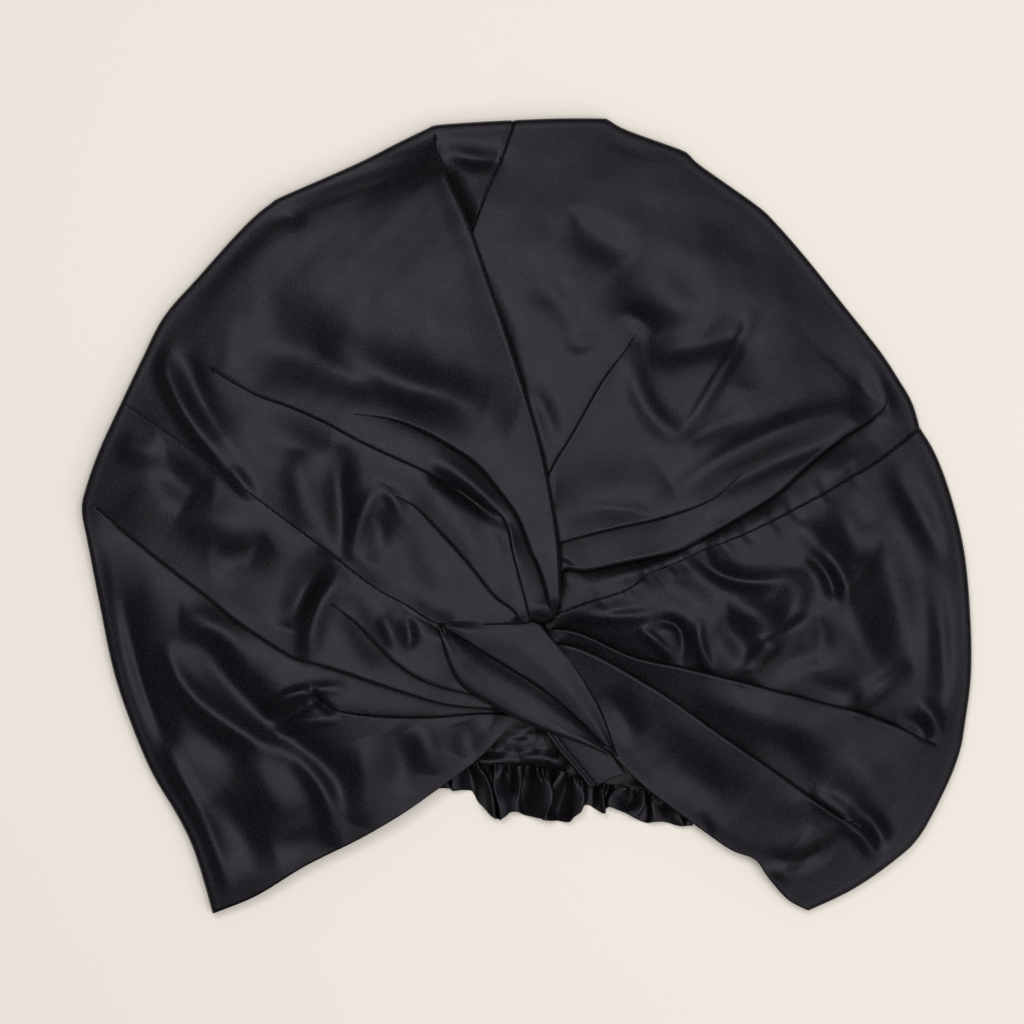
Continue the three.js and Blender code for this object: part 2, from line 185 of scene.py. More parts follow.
# Back seams and edges, from the rim to the gathers
BACK_SEAM_LEFT = [(-145.3, 41.5), (-100, 0), (-60, -50), (-25.5, -87.9)]
BACK_SEAM_CENTRE = [(-3.9, 142.6), (2, 60), (8, -20), (12, -92)]
BACK_SEAM_RIGHT = [(141.6, 32), (105, -15), (75, -65), (45, -100)]
BACK_MOUTH_LEFT = [(-112.6, -142.6), (-78, -120), (-46, -103), (-34, -93)]
BACK_MOUTH_RIGHT = [(101.6, -141.6), (86, -126), (74, -117), (62.4, -109.4)]
GATHER_CROWN_LEFT = [(-25.5, -87.9), (-9.3, -90), (1.8, -90.8), (12, -92)]
GATHER_CROWN_RIGHT = [(12, -92), (19.7, -95.4), (30.5, -97.6), (45, -100)]
GATHER_BRIM_LEFT = [(-25.5, -87.9), (-34, -93)]
GATHER_BRIM_RIGHT = [(45, -100), (62.4, -109.4)]

# ---- Soft folds of each panel. A bent line in plan (mm), half width, and height, or depth if it is negative.
# lean moves the crest to one side, so that one flank is steep. ----
RELIEF = {
    "crown_left": [
        # from, bend, to, half width, height, lean
        ((-106, 62), (-62, 56), (-4, 34), 9.5, -3.2, 0.0),
        ((-98, 70), (-84, 66), (-66, 60), 10.0, -1.2, 0.0),
        ((-62, 53), (-40, 47), (-14, 40), 7.5, -1.8, 0.0),
        ((-74, 62), (-60, 57), (-47, 38), 4.2, 0.7, 0.0),
        ((-134, 66), (-132, 44), (-100, 10), 3.6, 2.4, 0.2),
        ((-123, 60), (-120, 46), (-108, 28), 4.0, -1.2, 0.0),
        ((-106, 18), (-101, 12), (-97, 6), 2.6, 1.4, 0.0),
        ((-98, 34), (-86, 26), (-70, 24), 8.0, -1.6, 0.0),
        ((-66, 26), (-68, 8), (-64, -18), 4.6, -2.8, 0.0),
        ((-80, 24), (-82, 10), (-76, -4), 5.0, 1.4, 0.0),
        ((-63, -16), (-60, 2), (-50, 12), 2.8, 1.8, 0.3),
        ((-52, 10), (-46, 8), (-44, -2), 2.4, 1.2, 0.0),
        ((-54, 2), (-50, -6), (-56, -16), 4.0, -1.8, 0.0),
        ((-44, -2), (-46, -18), (-34, -30), 7.0, -1.4, 0.0),
        ((-36, 12), (-26, 0), (-10, -22), 6.0, 1.2, 0.0),
        ((-36, 17), (-20, 7.5), (-6, -4), 2.3, -3.4, 0.0),
        ((-34, 22), (-12, 12), (-1, -22), 3.0, 1.2, 0.0),
        ((-92, 115), (-88, 110), (-80, 106), 2.6, -1.4, 0.0),
        ((-120, 76), (-96, 98), (-56, 116), 9.0, 0.8, 0.0),
        ((-34, 138), (-31, 124), (-20, 96), 4.0, 0.5, 0.0),
    ],
    "crown_right": [
        ((16, 107), (28, 98), (38, 91), 7.0, -1.9, 0.0),
        ((16, 111), (19, 107), (20, 102), 2.0, -0.6, 0.0),
        ((34, 90), (49, 78), (64, 67), 10.5, -3.4, 0.0),
        ((44, 58), (58, 59), (78, 68), 5.4, -2.6, 0.0),
        ((34, 74), (41, 71), (47, 66), 3.2, 1.4, 0.0),
        ((82, 74), (72, 54), (55, 28), 2.2, 1.5, 0.2),
        ((66, 76), (82, 62), (78, 46), 8.0, -1.4, 0.0),
        ((38, 62), (36, 36), (62, 24), 4.0, 1.6, 0.0),
        ((50, 14), (32, 4), (10, 8), 9.0, -2.2, 0.0),
        ((46, 2), (84, 36), (124, 38), 4.4, 2.4, 0.0),
        ((62, 6), (88, 22), (118, 30), 4.0, -2.0, 0.0),
        ((52, 24), (62, 30), (80, 38), 3.6, -1.4, 0.0),
        ((126, 64), (133, 50), (129, 36), 3.4, 1.6, 0.0),
        ((120, 56), (124, 44), (118, 34), 4.0, -1.2, 0.0),
        ((2, 84), (12, 80), (20, 62), 5.0, -1.0, 0.0),
        ((-18, 96), (7, 22), (11, -30), 2.4, -1.6, 0.0),
        ((14, 64), (19, 58), (26, 66), 3.0, -0.9, 0.0),
        ((0, 46), (8, 40), (10, 24), 3.4, -1.2, 0.0),
        ((30, 140), (38, 136), (48, 132), 2.8, -1.2, 0.0),
        ((-30, 134), (-20, 128), (-8, 130), 3.4, -2.0, 0.0),
        ((20, -24), (40, -20), (54, -15), 2.6, 1.2, 0.0),
        ((106, 14), (114, 16), (126, 26), 3.0, 1.0, 0.0),
    ],
    "brim_left": [
        ((-122, 4), (-110, -4), (-96, -8), 9.0, 2.2, 0.0),
        ((-134, 22), (-124, 10), (-112, 8), 6.0, -1.8, 0.0),
        ((-148, 30), (-140, 22), (-130, 24), 5.0, 1.2, 0.0),
        ((-112, -16), (-102, -16), (-92, -8), 6.0, -2.0, 0.0),
        ((-70, -12), (-80, -24), (-85, -40), 5.4, -3.8, 0.0),
        ((-64, -20), (-80, -32), (-76, -54), 3.6, 2.8, 0.0),
        ((-64, -28), (-60, -42), (-50, -52), 5.0, -1.4, 0.0),
        ((-44, -35), (-40, -41), (-42, -48), 2.0, -2.0, 0.0),
        ((-52, -35), (-48, -40), (-46, -47), 2.2, 1.4, 0.0),
        ((-118, -42), (-108, -64), (-62, -98), 6.4, -4.2, 0.0),
        ((-129, -44), (-128, -68), (-84, -86), 3.8, 2.6, 0.0),
        ((-94, -79), (-66, -92), (-70, -118), 3.6, 2.4, 0.0),
        ((-124, -36), (-112, -36), (-98, -52), 5.0, 2.0, 0.0),
        ((-94, -71), (-88, -61), (-64, -61), 1.9, 1.9, 0.0),
        ((-92, -75), (-82, -69), (-72, -64), 2.0, -1.6, 0.0),
        ((-90, -78), (-80, -72), (-66, -72), 2.0, 1.3, 0.0),
        ((-77, -60), (-76, -66), (-68, -70), 1.6, -1.8, 0.0),
        ((-148, -26), (-144, -56), (-130, -84), 5.0, -2.0, 0.0),
        ((-153, -10), (-150, -50), (-138, -78), 3.0, 1.0, 0.0),
        ((-132, -82), (-118, -106), (-109, -136), 4.0, 2.2, 0.0),
        ((-122, -74), (-112, -82), (-100, -88), 7.0, -2.2, 0.0),
        ((-112, -100), (-102, -112), (-96, -128), 8.0, -2.6, 0.0),
        ((-98, -84), (-92, -98), (-84, -108), 6.0, 1.6, 0.0),
        ((-60, -80), (-54, -94), (-60, -110), 6.0, 1.8, 0.0),
        ((-48, -76), (-42, -86), (-46, -98), 5.0, -1.4, 0.0),
        ((-38, -74), (-34, -82), (-34, -92), 4.5, 1.4, 0.0),
        ((-22, -73), (-20, -79), (-24, -86), 5.0, -1.8, 0.0),
        ((-90, -120), (-80, -116), (-66, -116), 5.0, -1.2, 0.0),
    ],
    "brim_right": [
        ((60, -10), (68, -28), (96, -21), 3.2, -3.0, 0.0),
        ((72, -34), (82, -32), (90, -40), 5.0, 2.2, 0.0),
        ((98, -18), (98, -32), (88, -46), 5.6, -3.2, 0.0),
        ((100, -14), (110, -18), (111, -32), 2.6, -2.4, 0.0),
        ((106, -12), (116, -20), (114, -34), 2.6, 1.4, 0.0),
        ((128, -8), (118, -24), (108, -32), 2.2, 2.0, 0.0),
        ((122, -2), (134, -24), (138, -62), 8.0, -2.8, 0.0),
        ((112, -28), (120, -40), (124, -56), 6.0, 1.8, 0.0),
        ((104, -36), (108, -44), (104, -54), 4.0, -1.8, 0.0),
        ((76, -60), (86, -42), (104, -36), 3.0, 2.4, 0.0),
        ((84, -58), (96, -48), (106, -50), 5.0, -2.0, 0.0),
        ((62, -36), (60, -46), (67, -56), 1.9, 2.0, 0.0),
        ((68, -38), (78, -42), (80, -54), 5.0, -2.2, 0.0),
        ((44, -38), (60, -34), (55, -53), 2.2, -2.8, 0.0),
        ((40, -40), (46, -43), (52, -50), 1.8, 1.8, 0.0),
        ((16, -35), (32, -37), (48, -34), 2.2, 1.5, 0.0),
        ((44, -22), (56, -26), (66, -32), 5.0, -1.2, 0.0),
        ((98, -60), (110, -62), (120, -64), 5.0, -1.8, 0.0),
        ((116, -70), (126, -62), (138, -52), 3.0, 2.0, 0.0),
        ((140, -68), (148, -68), (149, -80), 2.6, 1.8, 0.0),
        ((134, -72), (142, -74), (146, -80), 2.4, -1.4, 0.0),
        ((132, 18), (142, 4), (150, -16), 5.0, -2.0, 0.0),
        ((110, 4), (118, -4), (116, -16), 6.0, -2.2, 0.0),
        ((98, -2), (104, -8), (106, -14), 4.0, 1.4, 0.0),
        ((146, -20), (153, -44), (150, -70), 4.0, -1.4, 0.0),
        ((60, -62), (86, -74), (112, -78), 6.0, 1.4, 0.0),
        ((84, -76), (98, -86), (104, -98), 8.0, -2.2, 0.0),
        ((112, -84), (124, -92), (128, -104), 7.0, 1.4, 0.0),
        ((102, -100), (110, -102), (118, -110), 2.8, 2.2, 0.0),
        ((116, -104), (130, -110), (130, -122), 3.4, -2.4, 0.0),
        ((112, -110), (122, -112), (127, -124), 2.4, 1.8, 0.0),
        ((84, -122), (104, -128), (112, -112), 3.2, -2.0, 0.0),
        ((90, -130), (96, -120), (104, -112), 3.4, 1.8, 0.0),
        ((62, -106), (64, -112), (66, -118), 3.0, -1.0, 0.0),
        ((28, -62), (34, -70), (40, -80), 5.0, -1.6, 0.0),
        ((44, -62), (60, -82), (86, -98), 7.0, 1.0, 0.0),
        ((50, -84), (62, -96), (76, -106), 7.0, -1.0, 0.0),
    ],
}

# Small puckers across the right seam: where along it, as a share, how long, half width and height
PUCKERS = [
    # share, length, half width, height
    (0.15, 6.0, 1.5, 0.4), (0.21, 5.0, 1.2, -0.4), (0.27, 8.0, 1.6, 0.6), (0.32, 6.0, 1.4, -0.6),
    (0.36, 7.0, 1.5, 0.5), (0.42, 6.0, 1.6, -0.7), (0.46, 9.0, 1.7, 0.6), (0.52, 6.0, 1.4, -0.5),
    (0.57, 8.0, 1.8, 0.5), (0.64, 7.0, 1.7, -0.5), (0.71, 6.0, 1.6, 0.4), (0.80, 6.0, 1.6, -0.3),
]

# ---- Lines and patches in plan ----


def spline(points, shares):
    """A smooth curve through points, at shares of its length."""
    p = np.array(points, float)
    t = np.linspace(0, len(p) - 1, 60 * (len(p) - 1) + 1)
    i = np.minimum(t.astype(int), len(p) - 2)
    f = (t - i)[:, None]
    before, start = p[np.maximum(i - 1, 0)], p[i]
    end, after = p[i + 1], p[np.minimum(i + 2, len(p) - 1)]
    slope_in, slope_out = (end - before) / 2, (after - start) / 2
    fine = (
        start
        + slope_in * f
        + (-3 * start + 3 * end - 2 * slope_in - slope_out) * f**2
        + (2 * start - 2 * end + slope_in + slope_out) * f**3
    )
    length = np.concatenate([[0], np.cumsum(np.linalg.norm(np.diff(fine, axis=0), axis=1))])
    at = np.asarray(shares, float) * length[-1]
    return np.stack([np.interp(at, length, fine[:, k]) for k in (0, 1)], axis=-1)


def nearest(line, points):
    """Distance of each point from a line, how far along it that is (0 to 1), and its side, + on the left."""
    best = np.full(points.shape[:-1], np.inf)
    share, side = np.zeros_like(best), np.zeros_like(best)
    for k in range(len(line) - 1):
        along = line[k + 1] - line[k]
        rel = points - line[k]
        t = np.clip((rel @ along) / max(along @ along, 1e-9), 0, 1)
        gap = rel - t[..., None] * along
        d = np.hypot(gap[..., 0], gap[..., 1])
        closer = d < best
        best = np.where(closer, d, best)
        share = np.where(closer, (k + t) / (len(line) - 1), share)
        side = np.where(closer, np.sign(along[0] * rel[..., 1] - along[1] * rel[..., 0]), side)
    return best, share, side


def smoothstep(x, low, high):
    t = np.clip((x - low) / (high - low), 0, 1)
    return t * t * (3 - 2 * t)


def bezier(start, bend, end, count=18):
    t = np.linspace(0, 1, count)[:, None]
    return (1 - t) ** 2 * np.array(start) + 2 * t * (1 - t) * np.array(bend) + t**2 * np.array(end)


def coons(inner, outer, side_a, side_b, us, vs):
    u, v = us[None, :, None], vs[:, None, None]
    corners = (
        (1 - u) * (1 - v) * inner[0] + u * (1 - v) * inner[-1] + (1 - u) * v * outer[0] + u * v * outer[-1]
    )
    return (1 - v) * inner[None] + v * outer[None] + (1 - u) * side_a[:, None] + u * side_b[:, None] - corners


RIM_LINE = np.concatenate([
    spline(RIM_BRIM_LEFT[::-1], np.linspace(0, 1, 60)),
    spline(RIM_CROWN_LEFT, np.linspace(0, 1, 60)),
    spline(RIM_CROWN_RIGHT, np.linspace(0, 1, 60)),
    spline(RIM_BRIM_RIGHT, np.linspace(0, 1, 60)),
])
MOUTH_LINE = np.concatenate([
    spline(MOUTH_LEFT[::-1], np.linspace(0, 1, 40)),
    spline(MOUTH_RIGHT, np.linspace(0, 1, 40)),
])
WAVES = np.random.default_rng(7).uniform(size=(14, 4))


def waviness(points, height, shortest, spread):
    """A slight unevenness, up to about height, with waves from shortest to shortest + spread long."""
    total = 0
    for a, b, c, d in WAVES:
        angle, length = 2 * np.pi * a, shortest + spread * b
        across = points[..., 0] * np.cos(angle) + points[..., 1] * np.sin(angle)
        total = total + (0.4 + 0.6 * c) * np.sin(2 * np.pi * (across / length + d))
    return height * (total / 4)


def dome(points):
    """Height of the front cloth without its folds."""
    rim = np.clip((nearest(RIM_LINE, points)[0] - RIM_RADIUS) / DOME_REACH, 0, 1)
    mouth = smoothstep(nearest(MOUTH_LINE, points)[0], 0, MOUTH_REACH)
    rise = DOME_RISE * (1 - (1 - rim) ** 1.5) * (MOUTH_SHARE + (1 - MOUTH_SHARE) * mouth)
    rise += HUB_LIFT * np.exp(-((hub_distance(points) / HUB_REACH) ** 2))
    uneven = waviness(points, *UNEVEN) + waviness(points[..., ::-1], *FINE)
    sag = waviness(points, *SAG) * (1 - smoothstep(rim, 0, 0.35))
    return RIM_TOP + rise + uneven * smoothstep(rim, 0, 0.2) + sag


def hub_distance(points):
    return np.hypot(points[..., 0] - HUB[0], points[..., 1] - HUB[1])


def relief(rows, points):
    """The sum of soft folds at each point."""
    total = np.zeros(points.shape[:-1])
    for start, bend, end, width, height, lean in rows:
        distance, share, side = nearest(bezier(start, bend, end), points)
        fade = np.sin(np.pi * share) ** 0.8
        reach = width * (1 + lean * side)
        total += height * fade * np.exp(-((distance / reach) ** 2))
    return total


# ---- From a grid of middle points to a closed cloth ----
WELD = 0.004  # points closer than this become one
SAME_PLACE = 0.02  # neighbours closer than this share a normal


def normals_of(grid):
    """Normals from the areas around each point. Neighbours in a row that lie on each other share theirs."""
    area = np.cross(grid[1:, 1:] - grid[:-1, :-1], grid[1:, :-1] - grid[:-1, 1:])
    n = np.zeros_like(grid)
    for rows, columns in ((slice(0, -1), slice(0, -1)), (slice(0, -1), slice(1, None)),
                          (slice(1, None), slice(0, -1)), (slice(1, None), slice(1, None))):
        n[rows, columns] += area
    apart = np.linalg.norm(np.diff(grid, axis=1), axis=2) > SAME_PLACE
    group = np.concatenate([np.zeros((len(grid), 1), int), np.cumsum(apart, axis=1)], axis=1)
    row = np.arange(len(grid))[:, None] * np.ones_like(group)
    total = np.zeros_like(grid)
    np.add.at(total, (row, group), n)
    n = total[row, group]
    return n / np.maximum(np.linalg.norm(n, axis=2, keepdims=True), 1e-12)


def side_normals(side, outwards):
    """Normals along a panel's side, from that line alone, so that panels sewn together there share them.
    outwards is the level direction away from the hub at each point."""
    along = np.gradient(side, axis=0)
    along /= np.maximum(np.linalg.norm(along, axis=1, keepdims=True), 1e-9)
    level = np.sum(along[:, :2] * outwards, axis=1)
    n = np.concatenate([-along[:, 2:] * outwards, level[:, None]], axis=1)
    return n / np.maximum(np.linalg.norm(n, axis=1, keepdims=True), 1e-9)


def add_object(name, data):
    thing = bpy.data.objects.new(name, data)
    bpy.context.scene.collection.objects.link(thing)
    return thing


def cloth_mesh(name, grid, thickness, sides=None):
    """A closed cloth round a grid of middle points (rows, columns, 3), in millimetres.
    sides are the normals of the first and last column, where the cloth is sewn to another."""
    rows, columns = grid.shape[:2]
    n = normals_of(grid)
    if sides is not None:
        for k, side in zip((0, -1), sides):
            n[:, k] = side * np.sign(np.sum(side * n[:, k]))
    half = n * thickness / 2
    verts = np.concatenate([(grid + half).reshape(-1, 3), (grid - half).reshape(-1, 3)])
    ids = np.arange(rows * columns).reshape(rows, columns)
    low = ids + rows * columns
    a, b, c, d = ids[:-1, :-1], ids[:-1, 1:], ids[1:, 1:], ids[1:, :-1]
    faces = [np.stack([a, b, c, d], -1).reshape(-1, 4)]
    a, b, c, d = low[:-1, :-1], low[:-1, 1:], low[1:, 1:], low[1:, :-1]
    faces.append(np.stack([a, d, c, b], -1).reshape(-1, 4))
    ring = np.concatenate([ids[0, ::-1], ids[1:, 0], ids[-1, 1:], ids[-2:0:-1, -1]])
    ring_low = ring + rows * columns
    faces.append(np.stack([ring, np.roll(ring, -1), np.roll(ring_low, -1), ring_low], -1))
    smooth_count = sum(len(block) for block in faces[:2])
    faces = np.concatenate(faces)
    mesh = bpy.data.meshes.new(name)
    mesh.from_pydata((verts * MM).tolist(), [], faces.tolist())
    mesh.polygons.foreach_set("use_smooth", np.arange(len(faces)) < smooth_count)
    welded = bmesh.new()
    welded.from_mesh(mesh)
    bmesh.ops.remove_doubles(welded, verts=welded.verts, dist=WELD * MM)
    welded.to_mesh(mesh)
    welded.free()
    return add_object(name, mesh)


# ---- One panel of the bag ----
FRONT_ROWS, RIM_ROWS, BACK_ROWS = 132, 9, 44
LIP_TURNS = [0.3, 0.6, 0.85, 1.0]
COLUMN_PITCH = 1.0
PULL_FROM = 0.8  # share of the way out from which the front is pulled in for the rolled rim
BACK_EASE = 2.2  # sets the back's rows closer together at the gathers
RIM_BLEND = 0.2  # share of the back over which its rows leave the rolled rim
FLAP_OPENS = (0.70, 0.80)  # shares of the way out, above which the cloth lies open beside the big fold
FLAP_TURN_REACH, TURN_REACH = 2, 2.5  # over which the cloth that goes back under a tuck dies away


def snapped(points, line_points):
    """The curve with its outer end moved onto the rim, and the share of the rim at which it ends."""
    line = spline(line_points, np.linspace(0, 1, 2001))
    k = int(np.argmin(np.hypot(*(line - np.array(points[-1])).T)))
    return [*points[:-1], tuple(line[k])], k / 2000


def bag_panel(first, second, guides, inner, rim):
    """The front's strips of cloth between its creases. first and second are the panel's sides, and inner
    and rim its ends. Each guide is a crease from inner to rim, as make_guide gives it."""
    vs = np.linspace(0, 1, FRONT_ROWS)
    curves, shares = [spline(first, vs)], [0.0]
    inner_line = spline(inner, np.linspace(0, 1, 801))
    inner_shares = [0.0]
    for guide in guides:
        points, share = snapped(guide["curve"], rim)
        k = int(np.argmin(np.hypot(*(inner_line - np.array(points[0])).T)))
        inner_shares.append(max(k / 800, inner_shares[-1] + 0.02))
        shares.append(share)
        curve = spline(points, vs)
        curve += (spline(inner, [inner_shares[-1]])[0] - curve[0]) * (1 - smoothstep(vs, 0, 0.06))[:, None]
        curves.append(curve)
    curves.append(spline(second, vs))
    shares.append(1.0)
    inner_shares.append(1.0)
    coarse = np.linspace(0, FRONT_ROWS - 1, 50).astype(int)
    beneath = 1 - smoothstep(vs, *FLAP_OPENS)[:, None]

    strips = []
    for k in range(len(curves) - 1):
        a, b = curves[k], curves[k + 1]
        width = np.median(np.hypot(*(a - b).T))
        count = int(np.clip(width / COLUMN_PITCH, 7, 90))
        t = np.linspace(0, 1, count)
        us = 0.62 * t + 0.38 * smoothstep(t, 0, 1)
        rim_share = shares[k] + us * (shares[k + 1] - shares[k])
        outer_edge = spline(rim, rim_share)
        inner_edge = spline(inner, inner_shares[k] + us * (inner_shares[k + 1] - inner_shares[k]))
        plan = coons(inner_edge, outer_edge, a, b, us, vs)
        covered = any(guide["under_sheet"] for guide in guides[k:])
        fade = smoothstep(nearest(curves[0][coarse], plan)[0], 0, SEAM_FADE)
        if not covered:
            fade = fade * smoothstep(nearest(curves[-1][coarse], plan)[0], 0, SEAM_FADE)
        rise, shift = np.zeros(plan.shape[:2]), np.zeros_like(plan)
        for index, guide in enumerate(guides):
            is_upper = (guide["upper"] > 0) == (k > index)
            gap, share, _ = nearest(curves[index + 1][coarse], plan)
            strength = guide["strength"](share) * fade
            if is_upper:
                rise += guide["height"] * strength * np.exp(-gap / guide["decay"])
            elif guide["under_sheet"]:
                hold = guide["strength"](vs)[:, None]
                rise += (guide["height"] - 2 * guide["roll"]) * hold * (1 - us)[None] * beneath
                back = guide["under"] * hold * (1 - beneath) * np.exp(-gap / FLAP_TURN_REACH)
                shift += guide["towards"][:, None] * back[..., None]
                rise -= guide["dip"] * hold * (1 - beneath) * np.exp(-((gap / guide["dip_reach"]) ** 2))
            else:
                rise -= guide["dip"] * strength * np.exp(-gap / guide["dip_reach"])
                if k in (index, index + 1):
                    back = guide["under"] * strength * np.exp(-gap / TURN_REACH)
                    shift += guide["towards"][:, None] * back[..., None]
        strips.append({"plan": plan + shift, "rim_share": rim_share, "rise": rise, "covered": covered})
    return strips


def lip(edge, towards, top_z, guide, vs):
    """Columns that turn from the upper cloth's edge down and back under it."""
    strength = guide["strength"](vs)
    roll = guide["roll"] * strength
    columns = []
    for turn in LIP_TURNS:
        s = -roll * np.sin(np.pi * turn)
        plan = edge + towards * s[:, None]
        columns.append(np.concatenate([plan, (top_z - roll * (1 - np.cos(np.pi * turn)))[:, None]], axis=1))
    return columns


def strength_of(start, end, fade_in, fade_out):
    def strength(vs):
        return smoothstep(vs, start, start + fade_in) * (1 - smoothstep(vs, end - fade_out, end))
    return strength


def make_guide(curve, height, upper, span, under=0.9, roll=0.55, decay=7.0, dip=0.8, dip_reach=6.0,
               under_sheet=False):
    """A crease: how high its upper cloth stands and on which side that is (-1 towards the panel's first
    side), the span of the way out in which it shows, how far the lower cloth goes back under, the lip's
    radius, the distance over which the rise dies away, and how deep and wide the lower cloth dips."""
    start, end, fade_in, fade_out = span
    return {
        "curve": curve, "height": height, "upper": upper, "under": under, "roll": roll, "decay": decay,
        "dip": dip, "dip_reach": dip_reach,
        "under_sheet": under_sheet, "strength": strength_of(start, end, fade_in, fade_out),
    }


def build_panel(name, first, second, guides, inner, rim, back, folds, seams, pleats=(), folds_beyond=()):
    vs = np.linspace(0, 1, FRONT_ROWS)
    # which way the upper cloth lies from each guide, as a unit vector in plan at each row
    for guide in guides:
        points, _ = snapped(guide["curve"], rim)
        line = spline(points, vs)
        along = np.gradient(line, axis=0)
        along /= np.maximum(np.linalg.norm(along, axis=1, keepdims=True), 1e-9)
        left = np.stack([-along[:, 1], along[:, 0]], -1)
        other = spline(first if guide["upper"] < 0 else second, vs)
        sign = np.sign(np.median(np.sum((other - line) * left, axis=1)))
        guide["towards"] = left * sign
    strips = bag_panel(first, second, guides, inner, rim)
    grids, all_shares = [], []
    has_flap = any(guide["under_sheet"] for guide in guides)
    for strip in strips:
        plan = strip["plan"]
        beyond = has_flap and not strip["covered"]
        rows = folds_beyond if beyond else folds
        z = dome(plan) + relief(rows, plan) * edge_fade(plan) + strip["rise"]
        if strip["covered"]:
            z += TONGUE_LIFT * np.exp(-((hub_distance(plan) / TONGUE_REACH) ** 2))
            z -= TONGUE_DROP * (1 - np.clip(nearest(TONGUE_END, plan)[0] / TONGUE_ROUND, 0, 1) ** 0.7)
        for seam in seams:
            distance, _, _ = nearest(seam, plan)
            z = z - SEAM_DEPTH * np.exp(-((distance / SEAM_WIDTH) ** 2))
        for line, width, height in pleats:
            distance, share, _ = nearest(line, plan)
            z = z + height * (1 - smoothstep(share, 0.35, 1)) * np.exp(-((distance / width) ** 2))
        grids.append(np.concatenate([plan, z[..., None]], axis=2))
        all_shares.append(strip["rim_share"])
    columns, shares = [], []
    for k, grid in enumerate(grids):
        columns.append(grid)
        shares.append(all_shares[k])
        if k + 1 < len(grids):
            guide = guides[k]
            if guide["upper"] < 0:
                edge = grid[:, -1]
                turned = lip(edge[:, :2], guide["towards"], edge[:, 2], guide, vs)
            else:
                edge = grids[k + 1][:, 0]
                turned = lip(edge[:, :2], guide["towards"], edge[:, 2], guide, vs)[::-1]
            columns.append(np.stack(turned, axis=1))
            shares.append(np.full(len(turned), all_shares[k][-1]))
    front = np.concatenate(columns, axis=1)
    share = np.concatenate(shares)

    # pull the front in from the rim, turn it under, and bring it back along the table
    rim_points = spline(rim, share)
    inward = front[-8, :, :2] - rim_points
    _, same = np.unique(np.round(share, 9), return_inverse=True)
    shared = np.zeros((same.max() + 1, 2))
    np.add.at(shared, same, inward)
    inward = shared[same]
    inward /= np.maximum(np.linalg.norm(inward, axis=1, keepdims=True), 1e-9)
    pull = smoothstep(vs, PULL_FROM, 1)[:, None, None] * (inward * RIM_RADIUS)[None]
    front[..., :2] += pull
    top = front[-1, :, 2]
    turns = np.linspace(0, 1, RIM_ROWS + 1)[1:]
    back_vs = 1 - np.linspace(1, 0, BACK_ROWS + 1) ** BACK_EASE
    back_plan = coons(rim_points, spline(back[2], share), spline(back[0], back_vs), spline(back[1], back_vs),
                      share, back_vs)
    rolled = []
    for turn in turns:
        angle = np.pi * turn
        reach = rim_points + inward * RIM_RADIUS * (1 - np.sin(angle))
        z = TABLE_TOP + (top - TABLE_TOP) * (1 + np.cos(angle)) / 2
        rolled.append(np.concatenate([reach, z[:, None]], axis=1))
    table = []
    for j in range(1, BACK_ROWS + 1):
        blend = 1 - smoothstep(np.array(back_vs[j]), 0, RIM_BLEND)
        plan = back_plan[j] + inward * RIM_RADIUS * blend
        z = TABLE_TOP + back_height(plan)
        table.append(np.concatenate([plan, z[:, None]], axis=1))
    grid = np.concatenate([front, np.array(rolled), np.array(table)], axis=0)
    sides = []
    for k in (0, -1):
        side = grid[:, k]
        outwards = np.gradient(side[:, :2], axis=0)
        outwards[FRONT_ROWS - 2:FRONT_ROWS + RIM_ROWS + 1] = -inward[k]
        outwards[FRONT_ROWS + RIM_ROWS + 1:] *= -1
        outwards /= np.maximum(np.linalg.norm(outwards, axis=1, keepdims=True), 1e-9)
        sides.append(side_normals(side, outwards))
    return cloth_mesh(name + "_cloth", grid, CLOTH, sides)


# soft folds of the back just above the gathers, seen through the mouth
BACK_FOLDS = [
    # from, bend, to, half width, height, lean
    ((-26, -85), (-14, -91), (-3, -86), 2.4, 2.8, 0.0),
    ((-6, -90), (4, -83), (15, -91), 2.6, 3.2, 0.0),
    ((-12, -84), (-9, -73), (6, -71), 1.9, 3.2, 0.0),
    ((-8, -83), (3, -83), (5, -76), 1.8, 2.8, 0.0),
    ((4, -84), (10, -80), (12, -74), 2.0, 2.4, 0.0),
    ((8, -90), (16, -86), (18, -78), 2.4, 2.6, 0.0),
    ((-24, -84), (-18, -80), (-10, -70), 3.0, 2.0, 0.0),
    ((18, -94), (28, -92), (34, -84), 2.4, 2.2, 0.0),
    ((34, -98), (42, -98), (50, -100), 2.4, 2.0, 0.0),
]


def back_height(plan):
    return np.maximum(relief(BACK_FOLDS, plan), 0)


TONGUE_END = spline(INNER_CROWN_LEFT[3:], np.linspace(0, 1, 20))
TONGUE_DROP, TONGUE_ROUND = 2.8, 2.2


def edge_fade(plan):
    return smoothstep(nearest(RIM_LINE, plan)[0], 2.0, 9.0)


seam_lines = {key: spline(points, np.linspace(0, 1, 80)) for key, points in
              (("left", SEAM_LEFT), ("centre", SEAM_CENTRE[3:]), ("right", SEAM_RIGHT))}
LEFT_FOLDS = RELIEF["crown_left"] + RELIEF["brim_left"]
RIGHT_FOLDS = RELIEF["crown_right"] + RELIEF["brim_right"]


def pucker_lines(seam, direction):
    lines = []
    for share, length, width, height in PUCKERS:
        start = spline(seam, [share])[0]
        ahead = spline(seam, [min(share + 0.01, 1)])[0] - start
        ahead /= np.linalg.norm(ahead)
        across = np.array([ahead[1], -ahead[0]]) * direction + 0.35 * ahead
        line = bezier(start, start + across * length * 0.5, start + across * length, 6)
        lines.append((line, width, height))
    return lines


